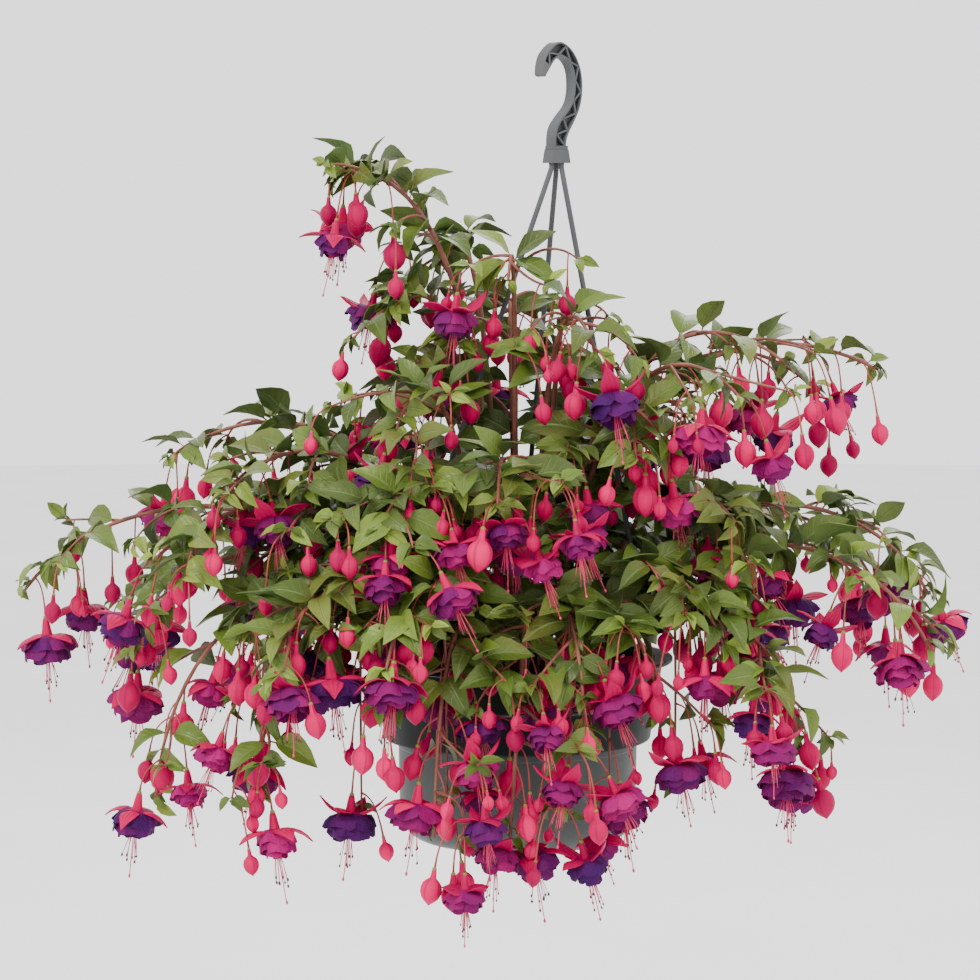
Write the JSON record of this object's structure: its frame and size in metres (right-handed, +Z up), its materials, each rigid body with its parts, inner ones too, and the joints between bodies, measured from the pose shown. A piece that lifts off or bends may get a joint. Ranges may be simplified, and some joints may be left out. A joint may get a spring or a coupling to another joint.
{
  "type": "fuchsia hanging basket",
  "caption": "Double-flowered fuchsia trailing from a plastic hanging pot on a three-strand hanger with a moulded hook.",
  "frame": {"origin": "the seat in the top of the hook, where the hook bears on its support", "axes": "+Z up, +X to the right of the pictured front, -Y towards the pictured front"},
  "size_m": [0.7647, 0.5883, 0.6783],
  "materials": {
    "pot": "dark green-grey moulded plastic",
    "reservoir": "mid grey moulded plastic",
    "soil": "loose dark potting mix",
    "hanger": "grey moulded plastic, satin",
    "leaf": "soft satin green leaf",
    "stem": "smooth red-brown young bark",
    "sepal": "waxy crimson-pink, satin",
    "corolla": "velvety violet-purple petals",
    "stamen": "fine crimson threads",
    "anther": "dark pollen-dusted anthers"
  },
  "bodies": {
    "root": {"pot": "pot", "reservoir": "reservoir", "soil": "soil", "hanger_hook": "hanger", "hanger_strand_left": "hanger", "hanger_strand_right": "hanger", "hanger_strand_back": "hanger", "fuchsia_stem_01": "leaf", "fuchsia_stem_02": "leaf", "fuchsia_stem_03": "leaf", "fuchsia_stem_04": "leaf", "fuchsia_stem_05": "leaf", "fuchsia_stem_06": "leaf", "fuchsia_stem_07": "leaf", "fuchsia_stem_08": "leaf", "fuchsia_stem_09": "leaf", "fuchsia_stem_10": "leaf", "fuchsia_stem_11": "leaf", "fuchsia_stem_12": "leaf", "fuchsia_stem_13": "leaf", "fuchsia_stem_14": "leaf", "fuchsia_stem_15": "leaf", "fuchsia_stem_16": "leaf", "fuchsia_stem_17": "leaf", "fuchsia_stem_18": "leaf", "fuchsia_stem_19": "leaf", "fuchsia_stem_20": "leaf", "fuchsia_stem_21": "leaf", "fuchsia_stem_22": "leaf", "fuchsia_stem_23": "leaf", "fuchsia_stem_24": "leaf", "fuchsia_stem_25": "leaf", "fuchsia_stem_26": "leaf", "fuchsia_stem_27": "leaf", "fuchsia_stem_28": "leaf", "fuchsia_stem_29": "leaf", "fuchsia_stem_30": "leaf", "fuchsia_stem_31": "leaf", "fuchsia_stem_32": "leaf", "fuchsia_stem_33": "leaf", "fuchsia_stem_34": "leaf", "fuchsia_stem_35": "leaf", "fuchsia_stem_36": "leaf", "fuchsia_stem_37": "leaf", "fuchsia_stem_38": "leaf", "fuchsia_stem_39": "leaf", "fuchsia_stem_40": "leaf", "fuchsia_stem_41": "leaf", "fuchsia_stem_42": "leaf"}
  },
  "joints": []
}
